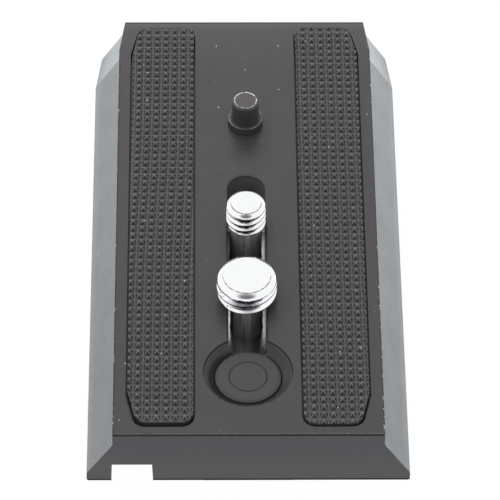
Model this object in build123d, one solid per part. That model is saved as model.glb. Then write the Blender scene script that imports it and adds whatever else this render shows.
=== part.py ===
from build123d import *
import math
import os

# Tripod quick release plate in millimetres. The plate lies along Y with its near end at -Y and its
# lead-in end at +Y. Z is up, and the base of the plate is at Z = 0, centred on the origin.

# Dovetail plate
plate_length = 90.0
base_width = 50.3
top_width = 42.0
base_land = 1.75
slope_rise = 6.85
top_land = 2.4
edge_break = 0.25
end_edge_break = 0.22
lead_in_length = 6.6
lead_in_draw_in = 0.9

# Recesses for the grip pads, measured from the edges of the top face
recess_width = 10.8
recess_depth = 1.6
recess_outer_margin = 1.95
recess_near_margin = 1.7
recess_far_margin = 1.65
recess_taper_in = 1.4
recess_taper_run = 6.1
recess_corner = 2.2

# Grip pads
pad_side_gap = 0.3
pad_far_gap = 0.15
left_pad_near_gap = 0.9
right_pad_near_gap = 0.5
pad_tip_stand = 0.65
pyramid_pitch = 1.465
pyramid_height = 0.7
pad_grid_skew = 0.22
pad_spare_ridge_count = 1

# Keyhole, its countersink and the slot that runs from it
keyhole_inset = 12.8
keyhole_diameter = 10.6
countersink_diameter = 13.7
countersink_depth = 1.45
countersink_lip = 0.3
slot_width = 6.0
slot_lip = 0.35
lip_flat_count = 2
slot_end_to_pin = 11.8

# Channel for the screw heads in the base
channel_width = 14.0
channel_depth = 3.9

# Safety-catch groove in the base, open at the near end
groove_outer_x = -21.3
groove_width = 6.35
groove_depth = 3.85
groove_draft_in = 0.12
groove_far_stop = 12.0

# Camera screws
quarter_thread_diameter = 6.32
quarter_thread_length = 4.95
quarter_top_chamfer = 0.75
quarter_head_diameter = 12.5
three_eighths_thread_diameter = 9.48
three_eighths_thread_length = 4.45
three_eighths_top_chamfer = 1.0
three_eighths_head_diameter = 12.5
neck_diameter = 5.2
screw_spacing = 15.04
screw_travel_ratio = 0.4785
screw_rest_x = -0.1
screw_rise = 0.6
thread_foot_chamfer = 0.55
head_lift = 0.25
head_edge_break = 0.3
neck_end_gap = 0.2
coin_slot_width = 1.6
coin_slot_depth = 1.2

# Washers on the screw necks
washer_thickness = 0.5
washer_inset = 0.25
washer_bore_clearance = 0.08
washer_seat_gap = 0.05
washer_ceiling_gap = 0.2

# Video pin, its bore, spring and retainer
pin_from_far_end = 23.8
pin_tip_diameter = 4.36
pin_tip_length = 4.0
pin_tip_chamfer = 0.33
pin_collar_diameter = 5.5
pin_collar_stand = 1.5
pin_collar_break = 0.15
pin_bore_clearance = 0.08
pin_lip = 1.5
pin_flange_diameter = 7.6
pin_flange_thickness = 1.0
pin_flange_gap = 0.05
pin_spigot_diameter = 2.8
pin_spigot_length = 0.8
pin_pocket_diameter = 8.2
retainer_thickness = 1.0
retainer_inset = 0.3
retainer_bore = 2.4
retainer_edge_break = 0.2
spring_wire = 0.45
spring_wire_sides = 4
spring_turns = 2.5
spring_end_gap = 0.05
spring_side_gap = 0.3

# Plug in the keyhole
plug_sink = 1.2
plug_edge_round = 0.6
plug_edge_flat_count = 2
plug_pin_diameter = 5.9
plug_pin_clearance = 0.03
plug_seam_break = 0.12

# Places worked out from the sizes above
plate_height = base_land + slope_rise + top_land
near_y = -plate_length / 2
far_y = plate_length / 2
recess_outer_x = top_width / 2 - recess_outer_margin
recess_inner_x = recess_outer_x - recess_width
recess_floor = plate_height - recess_depth
pad_tip = plate_height + pad_tip_stand
pad_valley = pad_tip - pyramid_height
keyhole_y = near_y + keyhole_inset
pin_y = far_y - pin_from_far_end
slot_far_y = pin_y - slot_end_to_pin
plug_top = plate_height - plug_sink
nearest_screw_y = keyhole_y + keyhole_diameter / 2 + neck_diameter / 2 + neck_end_gap
farthest_screw_y = slot_far_y - neck_diameter / 2 - neck_end_gap
screw_travel = farthest_screw_y - nearest_screw_y - screw_spacing
three_eighths_y = nearest_screw_y + screw_travel_ratio * screw_travel
quarter_y = three_eighths_y + screw_spacing
washer_top = channel_depth - washer_ceiling_gap
flange_top = washer_top - washer_thickness - washer_seat_gap
thread_bottom = plate_height + screw_rise
pin_flange_top = plate_height - pin_lip - pin_flange_gap
pin_flange_bottom = pin_flange_top - pin_flange_thickness
retainer_top = retainer_inset + retainer_thickness


def turned(points, x, y):
    """Solid turned about an upright axis at (x, y), from (radius, height) points of its half section."""
    half_section = make_face(Plane.XZ * Polyline(*points, close=True))
    return Pos(x, y) * revolve(half_section, Axis.Z, 360)


def stadium(first_y, last_y, width):
    """Slot outline along Y, with round ends centred on the two Y values."""
    middle = (first_y + last_y) / 2
    return Pos(0, middle) * Rot(0, 0, 90) * SlotCenterToCenter(last_y - first_y, width)


def plate_section(y, draw_in):
    """Dovetail section of the plate at one Y, with each side drawn in by the same amount."""
    half_base = base_width / 2 - draw_in
    half_top = top_width / 2 - draw_in
    right_side = [
        (half_base, 0),
        (half_base, base_land),
        (half_top, base_land + slope_rise),
        (half_top, plate_height),
    ]
    left_side = [(-x, z) for x, z in reversed(right_side)]
    outline = Polyline(*right_side, *left_side, close=True)
    section = make_face(outline)
    section = chamfer(section.vertices(), edge_break)
    return Plane((0, y, 0), x_dir=(1, 0, 0), z_dir=(0, -1, 0)) * section


def recess_outline(side, gap=0.0, near_gap=0.0, far_gap=0.0):
    """Plan outline of a pad recess (side is 1 on the right, -1 on the left), drawn in by the gaps."""
    inner = recess_inner_x + gap
    outer = recess_outer_x - gap
    near = near_y + recess_near_margin + near_gap
    far = far_y - recess_far_margin - far_gap
    points = [
        (inner, near),
        (outer - recess_taper_in, near),
        (outer, near + recess_taper_run),
        (outer, far - recess_taper_run),
        (outer - recess_taper_in, far),
        (inner, far),
    ]
    face = make_face(Polyline(*[(side * x, y) for x, y in points], close=True))
    rows = face.vertices().group_by(Axis.Y)
    return fillet(rows[0] + rows[-1], recess_corner - gap)


def round_steps(radius, flat_count):
    """Steps of an edge rounded over in a few flats, from the top down: distance from the wall, and drop."""
    turns = [math.pi / 2 * step / flat_count for step in range(flat_count + 1)]
    return [(radius * (1 - math.sin(turn)), radius * (1 - math.cos(turn))) for turn in turns]


def slot_cut():
    """Through slot from the keyhole to its far end, its upper edge rounded over."""
    far_centre = slot_far_y - slot_width / 2
    through = extrude(stadium(keyhole_y, far_centre, slot_width), plate_height)
    levels = [
        Pos(0, 0, plate_height - drop) * stadium(keyhole_y, far_centre, slot_width + 2 * widening)
        for widening, drop in round_steps(slot_lip, lip_flat_count)
    ]
    return through + loft(levels, ruled=True)


def keyhole_cut():
    """Keyhole through the web, with its wide countersink under a rounded lip."""
    lip = [
        (countersink_diameter / 2 + widening, plate_height - drop)
        for widening, drop in round_steps(countersink_lip, lip_flat_count)
    ]
    foot = [
        (keyhole_diameter / 2, plate_height - countersink_depth),
        (keyhole_diameter / 2, 0),
        (0, 0),
    ]
    return turned([(0, plate_height), *lip, *foot], 0, keyhole_y)


def groove_cut():
    """Safety-catch groove along the base, its inner wall leaning out towards the base."""
    ceiling_inner_x = groove_outer_x + groove_width
    outline = Polyline(
        (groove_outer_x, 0),
        (groove_outer_x, groove_depth),
        (ceiling_inner_x, groove_depth),
        (ceiling_inner_x + groove_draft_in, 0),
        close=True,
    )
    start = Plane((0, near_y, 0), x_dir=(1, 0, 0), z_dir=(0, -1, 0))
    return extrude(start * make_face(outline), plate_length - groove_far_stop, dir=(0, 1, 0))


def pin_bore_cut():
    """Bore for the video pin: a wide pocket from below and a close hole through the lip above it."""
    pocket_depth = plate_height - pin_lip
    pocket = Pos(0, pin_y, pocket_depth / 2) * Cylinder(pin_pocket_diameter / 2, pocket_depth)
    hole_radius = pin_collar_diameter / 2 + pin_bore_clearance
    return pocket + Pos(0, pin_y, plate_height / 2) * Cylinder(hole_radius, plate_height)


def end_edge_cut(end_y, inward):
    """Wedge that breaks the top edge of one end face (inward is the Y direction into the plate)."""
    outline = Polyline(
        (end_y, plate_height),
        (end_y + inward * end_edge_break, plate_height),
        (end_y, plate_height - end_edge_break),
        close=True,
    )
    return extrude(Plane.YZ * make_face(outline), base_width / 2, both=True)


def plate_body():
    """The plate: an extruded dovetail bar with a tapered lead-in, and its machined recesses and holes."""
    bend_y = far_y - lead_in_length
    body = extrude(plate_section(near_y, 0), plate_length - lead_in_length, dir=(0, 1, 0))
    body += loft([plate_section(bend_y, 0), plate_section(far_y, lead_in_draw_in)], ruled=True)
    body -= end_edge_cut(near_y, 1)
    body -= end_edge_cut(far_y, -1)
    for side in (-1, 1):
        body -= extrude(Pos(0, 0, recess_floor) * recess_outline(side), recess_depth, dir=(0, 0, 1))
    body -= extrude(stadium(keyhole_y, farthest_screw_y, channel_width), channel_depth)
    body -= slot_cut()
    body -= keyhole_cut()
    body -= groove_cut()
    body -= pin_bore_cut()
    return body


def ridge_face(count):
    """Saw-tooth section with a given number of ridges, from the recess floor up to the ridges' tips."""
    half_width = count * pyramid_pitch / 2
    teeth = [
        (step * pyramid_pitch / 2 - half_width, pad_tip if step % 2 else pad_valley)
        for step in range(2 * count + 1)
    ]
    return make_face(Polyline((-half_width, recess_floor), *teeth, (half_width, recess_floor), close=True))


def grip_pad(side, near_gap):
    """Rubber strip in its recess. Ridges along it and across it leave rows of pyramids, slightly askew."""
    outline = recess_outline(side, pad_side_gap, near_gap, pad_far_gap)
    strip = extrude(Pos(0, 0, recess_floor) * outline, pad_tip - recess_floor, dir=(0, 0, 1))
    box = outline.bounding_box()
    columns = math.ceil(box.size.X / pyramid_pitch) + pad_spare_ridge_count
    rows = math.ceil(box.size.Y / pyramid_pitch) + pad_spare_ridge_count
    along = extrude(Plane.XZ * ridge_face(columns), rows * pyramid_pitch / 2, both=True)
    across = extrude(Plane.YZ * ridge_face(rows), columns * pyramid_pitch / 2, both=True)
    place = Pos(box.center().X, box.center().Y) * Rot(0, 0, pad_grid_skew)
    return strip & (place * along) & (place * across)


def camera_screw(thread_diameter, thread_length, top_chamfer, head_diameter, y):
    """Turned camera screw: flat head with a coin slot, thin neck and the plain blank of its thread."""
    head_radius = head_diameter / 2
    thread_radius = thread_diameter / 2
    thread_top = thread_bottom + thread_length
    points = [
        (0, head_lift),
        (head_radius - head_edge_break, head_lift),
        (head_radius, head_lift + head_edge_break),
        (head_radius, flange_top),
        (neck_diameter / 2, flange_top),
        (neck_diameter / 2, thread_bottom),
        (thread_radius - thread_foot_chamfer, thread_bottom),
        (thread_radius, thread_bottom + thread_foot_chamfer),
        (thread_radius, thread_top - top_chamfer),
        (thread_radius - top_chamfer, thread_top),
        (0, thread_top),
    ]
    coin_slot = Box(head_diameter, coin_slot_width, 2 * coin_slot_depth)
    return turned(points, screw_rest_x, y) - Pos(screw_rest_x, y, head_lift) * coin_slot


def screw_washer(head_diameter, y):
    """Flat washer on a screw's neck, between its head and the web of the plate."""
    outer = head_diameter / 2 - washer_inset
    inner = neck_diameter / 2 + washer_bore_clearance
    bottom = washer_top - washer_thickness
    points = [(inner, bottom), (outer, bottom), (outer, washer_top), (inner, washer_top)]
    return turned(points, screw_rest_x, y)


def video_pin():
    """Stepped pin: tip, collar that slides in the plate, flange under the lip and spigot for the spring."""
    tip_radius = pin_tip_diameter / 2
    collar_radius = pin_collar_diameter / 2
    collar_top = plate_height + pin_collar_stand
    tip_top = collar_top + pin_tip_length
    spigot_bottom = pin_flange_bottom - pin_spigot_length
    points = [
        (0, spigot_bottom),
        (pin_spigot_diameter / 2, spigot_bottom),
        (pin_spigot_diameter / 2, pin_flange_bottom),
        (pin_flange_diameter / 2, pin_flange_bottom),
        (pin_flange_diameter / 2, pin_flange_top),
        (collar_radius, pin_flange_top),
        (collar_radius, collar_top - pin_collar_break),
        (collar_radius - pin_collar_break, collar_top),
        (tip_radius, collar_top),
        (tip_radius, tip_top - pin_tip_chamfer),
        (tip_radius - pin_tip_chamfer, tip_top),
        (0, tip_top),
    ]
    return turned(points, 0, pin_y)


def video_pin_spring():
    """Conical compression spring of square wire, wide on the retainer and narrow round the spigot."""
    wide_radius = pin_pocket_diameter / 2 - spring_side_gap - spring_wire / 2
    narrow_radius = pin_spigot_diameter / 2 + spring_side_gap + spring_wire / 2
    start_z = retainer_top + spring_end_gap + spring_wire / 2
    height = pin_flange_bottom - spring_end_gap - spring_wire / 2 - start_z
    cone_angle = math.degrees(math.atan2(wide_radius - narrow_radius, height))
    path = Helix(height / spring_turns, height, wide_radius, cone_angle=-cone_angle)
    wire_section = Plane(path @ 0, z_dir=path % 0) * RegularPolygon(spring_wire / 2, spring_wire_sides)
    return Pos(0, pin_y, start_z) * sweep(wire_section, path, is_frenet=True)


def video_pin_retainer():
    """Disc pressed into the pocket from below, which carries the spring."""
    outer = pin_pocket_diameter / 2
    bore = retainer_bore / 2
    points = [
        (bore, retainer_inset),
        (outer - retainer_edge_break, retainer_inset),
        (outer, retainer_inset + retainer_edge_break),
        (outer, retainer_top),
        (bore, retainer_top),
    ]
    return turned(points, 0, pin_y)


def keyhole_plug():
    """Sleeve pressed into the keyhole, its rounded rim just above the foot of the countersink."""
    outer = keyhole_diameter / 2
    bore = plug_pin_diameter / 2 + plug_pin_clearance
    rim = [
        (outer - inset, plug_top - drop)
        for inset, drop in reversed(round_steps(plug_edge_round, plug_edge_flat_count))
    ]
    points = [
        (bore, channel_depth),
        (outer, channel_depth),
        *rim,
        (bore + plug_seam_break, plug_top),
        (bore, plug_top - plug_seam_break),
    ]
    return turned(points, 0, keyhole_y)


def keyhole_plug_pin():
    """Core pin pushed flush into the plug, so that only its round seam shows."""
    radius = plug_pin_diameter / 2
    points = [
        (0, channel_depth),
        (radius, channel_depth),
        (radius, plug_top - plug_seam_break),
        (radius - plug_seam_break, plug_top),
        (0, plug_top),
    ]
    return turned(points, 0, keyhole_y)


pieces = {
    "plate_body": plate_body(),
    "left_grip_pad": grip_pad(-1, left_pad_near_gap),
    "right_grip_pad": grip_pad(1, right_pad_near_gap),
    "quarter_inch_screw": camera_screw(
        quarter_thread_diameter,
        quarter_thread_length,
        quarter_top_chamfer,
        quarter_head_diameter,
        quarter_y,
    ),
    "three_eighths_screw": camera_screw(
        three_eighths_thread_diameter,
        three_eighths_thread_length,
        three_eighths_top_chamfer,
        three_eighths_head_diameter,
        three_eighths_y,
    ),
    "quarter_inch_washer": screw_washer(quarter_head_diameter, quarter_y),
    "three_eighths_washer": screw_washer(three_eighths_head_diameter, three_eighths_y),
    "video_pin": video_pin(),
    "video_pin_spring": video_pin_spring(),
    "video_pin_retainer": video_pin_retainer(),
    "keyhole_plug": keyhole_plug(),
    "keyhole_plug_pin": keyhole_plug_pin(),
}

os.makedirs("parts", exist_ok=True)
for name, piece in pieces.items():
    export_step(piece, f"parts/{name}.step")
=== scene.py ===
# %% [markdown]
# # A tripod quick release plate
#
# The CAD model brings every piece of the plate at its real size. This lesson dresses it: it models what
# CAD leaves plain, which is the rubber pyramids, the cut threads and the round wire of the spring, and it
# gives every piece a finish made of shader nodes. First the imported model is loaded, and its box is kept.

# %% Load the imported model
import math

import bmesh
import bpy
import numpy as np
from mathutils import Matrix, Vector


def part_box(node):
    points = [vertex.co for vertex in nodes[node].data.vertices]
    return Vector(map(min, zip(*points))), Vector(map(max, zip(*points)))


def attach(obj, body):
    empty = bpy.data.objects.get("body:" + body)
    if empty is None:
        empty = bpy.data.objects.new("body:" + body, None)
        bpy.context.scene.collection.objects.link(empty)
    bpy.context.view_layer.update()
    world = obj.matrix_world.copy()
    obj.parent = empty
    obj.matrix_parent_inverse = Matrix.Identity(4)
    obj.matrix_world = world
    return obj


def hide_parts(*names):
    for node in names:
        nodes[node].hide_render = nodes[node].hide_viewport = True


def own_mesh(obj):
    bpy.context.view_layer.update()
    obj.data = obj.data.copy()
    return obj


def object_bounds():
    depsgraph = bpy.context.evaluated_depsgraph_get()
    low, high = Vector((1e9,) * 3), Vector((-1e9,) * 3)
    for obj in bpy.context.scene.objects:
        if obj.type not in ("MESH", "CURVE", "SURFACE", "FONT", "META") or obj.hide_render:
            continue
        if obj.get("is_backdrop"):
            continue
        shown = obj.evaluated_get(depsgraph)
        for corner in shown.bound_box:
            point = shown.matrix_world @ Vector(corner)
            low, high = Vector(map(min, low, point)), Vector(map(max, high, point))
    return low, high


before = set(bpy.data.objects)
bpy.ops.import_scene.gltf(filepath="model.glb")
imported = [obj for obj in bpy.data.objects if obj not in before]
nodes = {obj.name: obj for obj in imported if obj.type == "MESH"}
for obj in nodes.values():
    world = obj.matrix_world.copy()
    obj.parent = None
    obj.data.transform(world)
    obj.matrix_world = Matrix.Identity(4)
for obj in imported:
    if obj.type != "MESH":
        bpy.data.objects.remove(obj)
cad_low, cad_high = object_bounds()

MM = 0.001
print("nodes:", ", ".join(sorted(nodes)))

# %% [markdown]
# ## Camera
#
# A product photo of a small object is taken from some way off with a long lens, so that its edges stay
# nearly parallel. A camera can be dragged into place in the viewport, but an angle, a distance and a point
# to look at can be measured on the photo and refined. The camera's matrix is built from three directions:
# right, up, and back towards the photographer.

# %% Camera
VIEW_ELEVATION = math.radians(48.196)
VIEW_AZIMUTH = math.radians(-1.048)
VIEW_ROLL = math.radians(0.704)
VIEW_DISTANCE = 640.25 * MM
VIEW_TARGET = Vector((0.703, 3.029, 0.0)) * MM
SENSOR_SIDE = 36.0
LENS = 281.26

view_back = Vector((
    math.sin(VIEW_AZIMUTH) * math.cos(VIEW_ELEVATION),
    -math.cos(VIEW_AZIMUTH) * math.cos(VIEW_ELEVATION),
    math.sin(VIEW_ELEVATION),
))
level_right = Vector((math.cos(VIEW_AZIMUTH), math.sin(VIEW_AZIMUTH), 0.0))
level_up = view_back.cross(level_right)
view_right = level_right * math.cos(VIEW_ROLL) + level_up * math.sin(VIEW_ROLL)
view_up = level_up * math.cos(VIEW_ROLL) - level_right * math.sin(VIEW_ROLL)

camera_data = bpy.data.cameras.new("camera")
camera_data.sensor_width = SENSOR_SIDE
camera_data.lens = LENS
camera = bpy.data.objects.new("camera", camera_data)
turn = Matrix((view_right, view_up, view_back)).transposed()
camera.matrix_world = Matrix.Translation(VIEW_TARGET + view_back * VIEW_DISTANCE) @ turn.to_4x4()
bpy.context.scene.collection.objects.link(camera)
bpy.context.scene.camera = camera
bpy.context.scene.view_settings.view_transform = "Standard"
print("camera at", [round(value, 4) for value in camera.location])

# %% [markdown]
# ## Node helpers
#
# A procedural finish is a small graph of nodes. It could be drawn in the shader editor, but as text it can
# be read and repeated. These helpers add one node at a time and link it, so that each finish below reads as
# a list of what the surface has: grain, mottling, wear, dust. A mask is a number from 0 to 1 that says
# where such a thing is, and masks are combined by multiplying them or by taking the larger one.


# %% Helpers for single nodes
def add_node(tree, kind, inputs=None, **options):
    """Adds one node: options are its own settings, inputs are values or links by socket name or number."""
    node = tree.nodes.new(kind)
    for option, value in options.items():
        setattr(node, option, value)
    set_inputs(node, inputs or {})
    return node


def set_inputs(node, inputs):
    """Sets or links a node's sockets."""
    for key, value in inputs.items():
        if isinstance(value, bpy.types.NodeSocket):
            node.id_data.links.new(value, node.inputs[key])
        else:
            node.inputs[key].default_value = value


def next_node(kind, inputs, **options):
    """Adds a node that goes on from other nodes, in the tree of the first socket among its inputs."""
    sockets = [value for value in inputs.values() if isinstance(value, bpy.types.NodeSocket)]
    return add_node(sockets[0].id_data, kind, inputs, **options)


def calc(operation, first, second=0.0, third=0.0, clamp=False):
    """Output of a Math node."""
    inputs = {0: first, 1: second, 2: third}
    return next_node("ShaderNodeMath", inputs, operation=operation, use_clamp=clamp).outputs[0]


def times(first, *others):
    """Product of several values."""
    for other in others:
        first = calc("MULTIPLY", first, other)
    return first


def largest(first, *others):
    """Largest of several values."""
    for other in others:
        first = calc("MAXIMUM", first, other)
    return first


# %% Helpers for masks and colours
def fade(value, start, end, low=0.0, high=1.0):
    """Smooth step: low where value is at start, high where it is at end, held outside that range."""
    inputs = {"Value": value, "From Min": start, "From Max": end, "To Min": low, "To Max": high}
    return next_node("ShaderNodeMapRange", inputs, interpolation_type="SMOOTHSTEP").outputs["Result"]


def band(value, middle, half):
    """Soft band: 1 where value is at middle, 0 where it is further away than half."""
    away = calc("ABSOLUTE", calc("SUBTRACT", value, middle))
    return fade(away, half, 0.3 * half)


def blend_colour(share, first, second):
    """Colour that is first where share is 0 and second where share is 1."""
    return next_node("ShaderNodeMix", {0: share, 6: first, 7: second}, data_type="RGBA").outputs[2]


def painted(colour, *coats):
    """Colour under coats of paint, each given as its mask and its own colour."""
    for mask, paint in coats:
        colour = blend_colour(mask, colour, paint)
    return colour


def grey(level, warmth=0.0):
    """Grey of a given level as a colour, slightly warm where warmth is above 0 and cool below it."""
    return (level * (1 + warmth), level, level * (1 - warmth), 1.0)


def warm(level, redness):
    """Grey of a given level with a little more red, as black dye and black rubber have."""
    return (level * (1 + redness), level, level, 1.0)


# %% Helpers for places on a piece
def start_finish(name):
    """New material, its main shader and the Object coordinates on the piece."""
    material = bpy.data.materials.new(name)
    material.use_nodes = True
    tree = material.node_tree
    shader = next(node for node in tree.nodes if node.type == "BSDF_PRINCIPLED")
    return material, shader, add_node(tree, "ShaderNodeTexCoord").outputs["Object"]


def axes(place):
    """X, Y and Z of a place."""
    split = next_node("ShaderNodeSeparateXYZ", {0: place})
    return [split.outputs[axis] for axis in "XYZ"]


def stretched(place, factors):
    """Place times one factor for each axis: a low factor draws a pattern out along its axis."""
    return next_node("ShaderNodeVectorMath", {0: place, 1: factors}, operation="MULTIPLY").outputs[0]


def from_axis(dx, dy):
    """Distance from an upright axis: the square root of dx squared plus dy squared."""
    return calc("SQRT", calc("MULTIPLY_ADD", dx, dx, times(dy, dy)))


def noise(place, feature, detail=2.0, roughness=0.5):
    """Noise whose features are about as wide as feature, in metres."""
    inputs = {"Vector": place, "Scale": 1.0 / feature, "Detail": detail, "Roughness": roughness}
    return next_node("ShaderNodeTexNoise", inputs).outputs["Fac"]


def bump(height, distance):
    """Normal of a surface raised by height (0 to 1) times distance, in metres."""
    return next_node("ShaderNodeBump", {"Height": height, "Distance": distance}).outputs["Normal"]


# %% [markdown]
# ## Tent
#
# The plate was photographed in a light tent: white all round and below, with one dark place where the
# photographer stands. A picture of a studio could light it, but a few nodes need no file. Light Path tells
# what a ray is for. Rays from the camera and mirrored rays see the white tent, while the light that falls
# on the plate comes from a soft sky and from soft boxes.

# %% Tent
SKY_LIGHT = 0.80
VIEWER_DARK = 0.18
VIEWER_INNER = math.radians(9)
VIEWER_OUTER = math.radians(33)


def tent_world():
    """White tent for the camera and for mirrored rays, dark round the viewer; a soft sky for the rest."""
    world = bpy.data.worlds.new("tent")
    world.use_nodes = True
    tree = world.node_tree
    tree.nodes.clear()
    path = add_node(tree, "ShaderNodeLightPath")
    from_camera = path.outputs["Is Camera Ray"]
    direction = add_node(tree, "ShaderNodeTexCoord").outputs["Generated"]
    towards = next_node("ShaderNodeVectorMath", {0: direction, 1: view_back}, operation="DOT_PRODUCT")
    tent = fade(towards.outputs["Value"], math.cos(VIEWER_OUTER), math.cos(VIEWER_INNER),
                1.0, VIEWER_DARK)
    tent = largest(tent, from_camera)
    seen = next_node("ShaderNodeBackground", {"Color": grey(1.0), "Strength": tent})
    sky = add_node(tree, "ShaderNodeBackground", {"Color": grey(1.0, -0.02), "Strength": SKY_LIGHT})
    shows = largest(from_camera, path.outputs["Is Glossy Ray"], path.outputs["Is Transmission Ray"])
    mixed = next_node("ShaderNodeMixShader", {0: shows, 1: sky.outputs[0], 2: seen.outputs[0]})
    next_node("ShaderNodeOutputWorld", {"Surface": mixed.outputs[0]})
    return world


bpy.context.scene.world = tent_world()
print("tent sky at", SKY_LIGHT)

# %% [markdown]
# ## Paper floor
#
# The plate lies on white paper. Strong lamps could turn the paper white, but they would bleach the plate
# as well. So the paper glows by itself for the camera and for mirrored rays, and for all other light it is
# plain paper that catches a soft shadow. Under the plate the paper lies in the dark: it isn't mirrored
# there, and hardly glows where the slot lets it be seen. From below it is clear, so that the underside can
# be looked at.

# %% Paper floor
FLOOR_HALF = 1.5
FLOOR_DROP = 0.05 * MM
FLOOR_GLOW = 0.985
PAPER = grey(0.95, -0.04)
MIRRORED_PAPER = (0.885, 0.947, 1.0, 1.0)
CHANNEL_HALF = 7.0 * MM
CHANNEL_GLOW = 0.05


def floor_glow(place, path):
    """Share of glow in the paper: for the camera everywhere but under the channel, and for mirrored rays
    outside the plate's footprint."""
    x, y, _ = axes(place)
    across = calc("ABSOLUTE", x)
    beside = calc("GREATER_THAN", across, cad_high.x)
    beyond = calc("GREATER_THAN", calc("ABSOLUTE", y), cad_high.y)
    mirrored = largest(path.outputs["Is Glossy Ray"], path.outputs["Is Transmission Ray"])
    mirrored = times(mirrored, largest(beside, beyond))
    in_channel = times(calc("LESS_THAN", across, CHANNEL_HALF), calc("SUBTRACT", 1.0, beyond))
    lit_share = calc("MULTIPLY_ADD", in_channel, CHANNEL_GLOW - 1.0, 1.0)
    seen = times(path.outputs["Is Camera Ray"], lit_share)
    return times(largest(seen, mirrored), FLOOR_GLOW)


def floor_finish():
    """White paper that glows for the camera and for mirrored rays, keeps a faint shadow, and can be
    looked through from below."""
    material, shader, place = start_finish("paper_floor")
    tree = material.node_tree
    set_inputs(shader, {"Base Color": PAPER, "Roughness": 0.9, "Specular IOR Level": 0.0})
    path = add_node(tree, "ShaderNodeLightPath")
    glow_colour = blend_colour(path.outputs["Is Camera Ray"], MIRRORED_PAPER, grey(1.0))
    glow = next_node("ShaderNodeEmission", {"Color": glow_colour, "Strength": 1.0})
    share = floor_glow(place, path)
    lit = next_node("ShaderNodeMixShader", {0: share, 1: shader.outputs[0], 2: glow.outputs[0]})
    clear = add_node(tree, "ShaderNodeBsdfTransparent")
    below = largest(add_node(tree, "ShaderNodeNewGeometry").outputs["Backfacing"],
                    calc("GREATER_THAN", path.outputs["Transparent Depth"], 0.5))
    two_sided = next_node("ShaderNodeMixShader", {0: below, 1: lit.outputs[0], 2: clear.outputs[0]})
    output = next(node for node in tree.nodes if node.type == "OUTPUT_MATERIAL")
    set_inputs(output, {"Surface": two_sided.outputs[0]})
    return material


floor_mesh = bpy.data.meshes.new("floor")
corner_signs = ((-1, -1), (1, -1), (1, 1), (-1, 1))
floor_corners = [(x * FLOOR_HALF, y * FLOOR_HALF, -FLOOR_DROP) for x, y in corner_signs]
floor_mesh.from_pydata(floor_corners, [], [(0, 1, 2, 3)])
floor_mesh.materials.append(floor_finish())
floor = bpy.data.objects.new("floor", floor_mesh)
bpy.context.scene.collection.objects.link(floor)
floor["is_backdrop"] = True
print("floor", 2 * FLOOR_HALF, "m wide")

# %% [markdown]
# ## Lamps
#
# A large soft box, high on the left, gives the plate its soft shadows, and a small one beyond the far end
# lightens what looks that way. Neither is mirrored, because the tent's cloth hides it. The flanks mirror
# the paper beside the plate, which is the brightest paper in the tent. More lamps overhead could not make
# them paler without the top, so two flat panels on the floor stand in for that paper. The camera doesn't
# see them, and they grow brighter towards the far end. A third one, narrow and faint, lights the foot of
# the near face.

# %% Soft boxes
COOL_WHITE = (0.845, 0.935, 1.0)
PANEL_LIFT = 0.1 * MM
PANEL_FADE = (-0.070, 0.100)
SIDE_PANEL_SIZE = (0.080, 0.210)
SIDE_PANEL_X = cad_high.x + 2.0 * MM + SIDE_PANEL_SIZE[0] / 2
SIDE_PANEL_Y = 0.010
NEAR_PANEL_SIZE = (0.050, 0.0042)
NEAR_PANEL_Y = cad_low.y - 0.0023


def area_lamp(name, place, size, power, colour):
    """Rectangular area lamp at a place, with its own data."""
    lamp_data = bpy.data.lights.new(name, "AREA")
    lamp_data.shape = "RECTANGLE"
    lamp_data.size, lamp_data.size_y = size
    lamp_data.energy = power
    lamp_data.color = colour
    lamp = bpy.data.objects.new(name, lamp_data)
    lamp.location = place
    bpy.context.scene.collection.objects.link(lamp)
    return lamp, lamp_data


def soft_box(name, place, side, power, colour):
    """Square area lamp at a place, turned towards the plate and not mirrored in it."""
    lamp, _ = area_lamp(name, place, (side, side), power, colour)
    lamp.rotation_mode = "QUATERNION"
    lamp.rotation_quaternion = (-Vector(place)).to_track_quat("-Z", "Y")
    lamp.visible_glossy = False


def floor_panel(name, place, size, near, far):
    """Light table: a flat lamp just above the floor that looks up and is hidden from the camera. Its
    radiance changes smoothly from near to far along Y, and power is radiance times pi times area."""
    power = math.pi * size[0] * size[1]
    lamp, lamp_data = area_lamp(name, (*place, PANEL_LIFT), size, power, COOL_WHITE)
    lamp.rotation_euler = (math.pi, 0.0, 0.0)
    lamp.visible_camera = False
    lamp_data.use_nodes = True
    tree = lamp_data.node_tree
    along = axes(add_node(tree, "ShaderNodeNewGeometry").outputs["Position"])[1]
    emission = next(node for node in tree.nodes if node.type == "EMISSION")
    set_inputs(emission, {"Strength": fade(along, *PANEL_FADE, near, far)})


soft_box("key_box", (-0.36, 0.14, 0.74), 0.5, 2.22, (1.0, 0.975, 0.97))
soft_box("far_box", (-0.05, 0.24, 0.16), 0.15, 0.37, (1.0, 0.98, 0.96))
floor_panel("left_panel", (-SIDE_PANEL_X, SIDE_PANEL_Y), SIDE_PANEL_SIZE, 0.86, 1.36)
floor_panel("right_panel", (SIDE_PANEL_X, SIDE_PANEL_Y), SIDE_PANEL_SIZE, 1.00, 1.62)
floor_panel("near_panel", (0.0, NEAR_PANEL_Y), NEAR_PANEL_SIZE, 0.14, 0.14)

# %% [markdown]
# ## Surfaces from numpy
#
# Pieces can be modelled by hand, but a formula gives the same mesh each time and can be read. Each new
# piece is a grid of points worked out as whole arrays. Rows and columns of the grid become faces, points
# that fall together are merged, and edges that turn sharply keep a crisp edge under smooth shading.


# %% Mesh helpers
MERGE_DISTANCE = 0.0005 * MM
SHARP_ANGLE = math.radians(28)


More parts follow.
